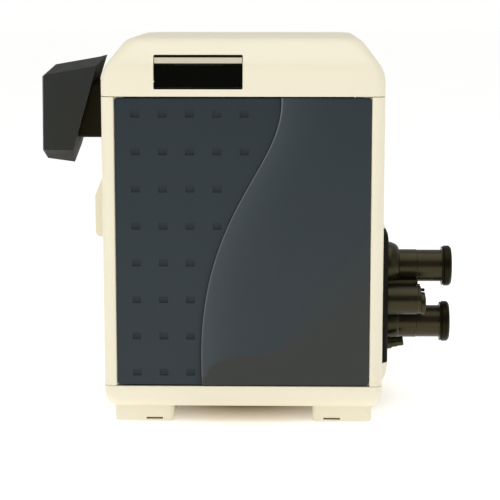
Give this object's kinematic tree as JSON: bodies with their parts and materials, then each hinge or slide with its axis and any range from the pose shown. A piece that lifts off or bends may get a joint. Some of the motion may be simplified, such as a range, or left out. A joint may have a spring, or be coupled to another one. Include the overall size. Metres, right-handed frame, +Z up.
{
  "type": "pool heater",
  "caption": "Free-standing gas pool and spa heater in a plastic cabinet, with a flue hood on one side, stacked water ports on the other and a control window in the lid.",
  "frame": {"origin": "on the floor under the middle of the cabinet, which is also the bottom centre of the whole box", "axes": "+Z up, -Y out of the front panel, +X towards the water ports"},
  "size_m": [0.8188, 0.533, 0.735],
  "materials": {
    "almond_plastic": "satin moulded almond plastic",
    "slate_plastic": "satin blue-grey moulded plastic",
    "black_plastic": "fine-textured black moulded plastic",
    "gloss_black": "polished smoked black plastic",
    "label_film": "plain silver-beige film, no lettering",
    "key_rubber": "moulded rubber",
    "screen_glass": "clear window",
    "circuit_board": "lacquered board",
    "sheet_steel": "rolled sheet",
    "copper": "drawn copper tube",
    "brass": "machined brass",
    "cast_aluminium": "die cast, as cast",
    "ceramic": "glazed white ceramic",
    "spring_steel": "bright drawn wire"
  },
  "bodies": {
    "cabinet": {"air_gas_mixer": "cast_aluminium", "air_intake_cowl": "almond_plastic", "base_pan": "almond_plastic", "blower_housing": "cast_aluminium", "blower_motor": "black_plastic", "burner": "sheet_steel", "bypass_spring": "spring_steel", "combustion_dome": "sheet_steel", "connection_surround": "almond_plastic", "exhaust_collar": "black_plastic", "exhaust_hood": "black_plastic", "flue_pipe": "sheet_steel", "gas_feed_pipe": "copper", "gas_supply_pipe": "brass", "gas_valve": "cast_aluminium", "heat_exchanger_tub": "sheet_steel", "heat_exchanger_tube_1": "copper", "heat_exchanger_tube_2": "copper", "heat_exchanger_tube_3": "copper", "heat_exchanger_tube_4": "copper", "heat_exchanger_tube_5": "copper", "high_limit_switch": "brass", "igniter": "ceramic", "ignition_module": "black_plastic", "junction_box": "sheet_steel", "junction_box_cover": "sheet_steel", "left_side_panel": "almond_plastic", "lower_port_pipe": "black_plastic", "rear_panel": "slate_plastic", "regulator_bolt": "sheet_steel", "regulator_cap": "black_plastic", "right_side_panel": "almond_plastic", "sight_glass": "screen_glass", "thermistor": "brass", "transformer": "sheet_steel", "tube_header": "brass", "upper_port_pipe": "black_plastic", "water_connection_cover": "slate_plastic", "water_manifold": "black_plastic", "water_pressure_switch": "black_plastic"},
    "front_panel": {"front_panel": "slate_plastic"},
    "lid": {"top_lid": "almond_plastic", "control_bezel": "black_plastic", "label_strip": "label_film", "control_fascia": "black_plastic", "display_screen": "screen_glass", "control_board": "circuit_board"},
    "display_door": {"display_door": "gloss_black"},
    "blower_rotor": {"impeller": "cast_aluminium"},
    "gas_valve_knob": {"gas_valve_knob": "black_plastic"},
    "bypass_plunger": {"bypass_plunger": "black_plastic"},
    "regulator_cartridge": {"regulator_cartridge": "brass"},
    "drain_plug": {"drain_plug": "black_plastic"},
    "key_down": {"key_down": "key_rubber"},
    "key_menu": {"key_menu": "key_rubber"},
    "key_off": {"key_off": "key_rubber"},
    "key_pool": {"key_pool": "key_rubber"},
    "key_spa": {"key_spa": "key_rubber"},
    "key_up": {"key_up": "key_rubber"}
  },
  "joints": [
    {"name": "front_panel_lift_off", "type": "slide", "parent": "cabinet", "child": "front_panel", "axis": [0, -1, 0], "range_m": [0, 0.15]},
    {"name": "lid_lift_off", "type": "slide", "parent": "cabinet", "child": "lid", "axis": [0, 0, 1], "range_m": [0, 0.15]},
    {"name": "display_door_hinge", "type": "hinge", "parent": "lid", "child": "display_door", "pos_m": [-0.08325, -0.257, 0.686], "axis": [-1, 0, 0], "range_deg": [0, 90]},
    {"name": "blower_spin", "type": "hinge", "parent": "cabinet", "child": "blower_rotor", "pos_m": [-0.06, -0.09, 0.52], "axis": [0, 0, 1], "continuous": true},
    {"name": "gas_valve_turn", "type": "hinge", "parent": "cabinet", "child": "gas_valve_knob", "pos_m": [0.15, 0.105, 0.4004], "axis": [0, 0, 1], "range_deg": [0, 90]},
    {"name": "bypass_slide", "type": "slide", "parent": "cabinet", "child": "bypass_plunger", "axis": [0, 0, 1], "range_m": [0, 0.025], "deforming": ["bypass_spring"]},
    {"name": "regulator_slide", "type": "slide", "parent": "cabinet", "child": "regulator_cartridge", "axis": [1, 0, 0], "range_m": [0, 0.005]},
    {"name": "drain_plug_unscrew", "type": "slide", "parent": "cabinet", "child": "drain_plug", "axis": [0.9903, 0, 0.1392], "range_m": [0, 0.06]},
    {"name": "key_down_press", "type": "slide", "parent": "lid", "child": "key_down", "axis": [0, 1, 0], "range_m": [0, 0.001]},
    {"name": "key_menu_press", "type": "slide", "parent": "lid", "child": "key_menu", "axis": [0, 1, 0], "range_m": [0, 0.001]},
    {"name": "key_off_press", "type": "slide", "parent": "lid", "child": "key_off", "axis": [0, 1, 0], "range_m": [0, 0.001]},
    {"name": "key_pool_press", "type": "slide", "parent": "lid", "child": "key_pool", "axis": [0, 1, 0], "range_m": [0, 0.001]},
    {"name": "key_spa_press", "type": "slide", "parent": "lid", "child": "key_spa", "axis": [0, 1, 0], "range_m": [0, 0.001]},
    {"name": "key_up_press", "type": "slide", "parent": "lid", "child": "key_up", "axis": [0, 1, 0], "range_m": [0, 0.001]}
  ]
}
